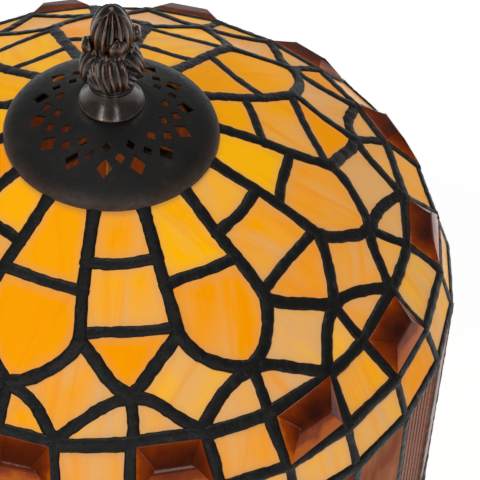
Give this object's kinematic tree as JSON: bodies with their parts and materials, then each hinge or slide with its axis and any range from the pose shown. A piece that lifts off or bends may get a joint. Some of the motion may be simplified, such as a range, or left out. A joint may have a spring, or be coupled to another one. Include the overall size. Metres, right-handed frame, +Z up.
{
  "type": "mosaic glass table lamp",
  "caption": "Table lamp with a domed mosaic glass shade on a drum skirt, a vented cap with finial, a turned stand and pull-chain sockets.",
  "frame": {"origin": "on the table, under the middle of the foot, on the lamp's axis", "axes": "+Z up along the lamp's axis; -Y the front, towards the reader; +X to the reader's right; the cord inlet is at +Y"},
  "size_m": [0.3576, 0.3576, 0.5823],
  "materials": {
    "amber_glass": "wispy opalescent",
    "brown_glass": "rippled opalescent",
    "jewel_glass": "pressed, polished",
    "bulb_glass": "frosted",
    "blackened_metal": "blackened patina",
    "bronze": "oil-rubbed bronze",
    "brass": "aged",
    "iron": "raw",
    "phenolic": "moulded",
    "felt": "felt"
  },
  "bodies": {
    "stand": {"base_foot": "bronze", "column_lower": "bronze", "column_knop": "bronze", "column_upper": "bronze", "shade_wheel": "brass", "riser_nut": "brass", "riser_rod": "brass", "base_nut": "brass", "cluster_body": "brass", "socket_arm_1": "brass", "socket_cap_1": "brass", "socket_shell_1": "brass", "socket_core_1": "phenolic", "bulb_1": "bulb_glass", "socket_arm_2": "brass", "socket_cap_2": "brass", "socket_shell_2": "brass", "socket_core_2": "phenolic", "bulb_2": "bulb_glass", "base_weight": "iron", "base_washer": "iron", "threaded_pipe": "iron", "base_felt": "felt", "cord_bushing": "phenolic"},
    "shade": {"dome_panel_1": "amber_glass", "dome_panel_2": "amber_glass", "dome_panel_3": "amber_glass", "dome_panel_4": "amber_glass", "dome_panel_5": "amber_glass", "dome_panel_6": "amber_glass", "dome_panel_7": "amber_glass", "skirt_panel_1": "brown_glass", "skirt_panel_2": "brown_glass", "skirt_panel_3": "brown_glass", "skirt_panel_4": "brown_glass", "skirt_panel_5": "brown_glass", "skirt_panel_6": "brown_glass", "skirt_panel_7": "brown_glass", "jewel_01": "jewel_glass", "jewel_02": "jewel_glass", "jewel_03": "jewel_glass", "jewel_04": "jewel_glass", "jewel_05": "jewel_glass", "jewel_06": "jewel_glass", "jewel_07": "jewel_glass", "jewel_08": "jewel_glass", "jewel_09": "jewel_glass", "jewel_10": "jewel_glass", "jewel_11": "jewel_glass", "jewel_12": "jewel_glass", "jewel_13": "jewel_glass", "jewel_14": "jewel_glass", "shade_bottom_rim": "blackened_metal", "shade_top_ring": "brass", "vent_cap": "blackened_metal"},
    "finial": {"finial": "bronze"},
    "chain_1": {"pull_chain_1": "brass", "chain_knob_1": "bronze"},
    "chain_2": {"pull_chain_2": "brass", "chain_knob_2": "bronze"}
  },
  "joints": [
    {"name": "shade_turn", "type": "hinge", "parent": "stand", "child": "shade", "pos_m": [0, 0, 0.5], "axis": [0, 0, 1], "continuous": true},
    {"name": "finial_turn", "type": "hinge", "parent": "stand", "child": "finial", "pos_m": [0, 0, 0.53], "axis": [0, 0, 1], "continuous": true},
    {"name": "chain_pull_1", "type": "slide", "parent": "stand", "child": "chain_1", "axis": [0, 0, -1], "range_m": [0, 0.01], "stiffness_N_per_m": 500, "springref_m": -0.002},
    {"name": "chain_pull_2", "type": "slide", "parent": "stand", "child": "chain_2", "axis": [0, 0, -1], "range_m": [0, 0.01], "stiffness_N_per_m": 500, "springref_m": -0.002}
  ]
}
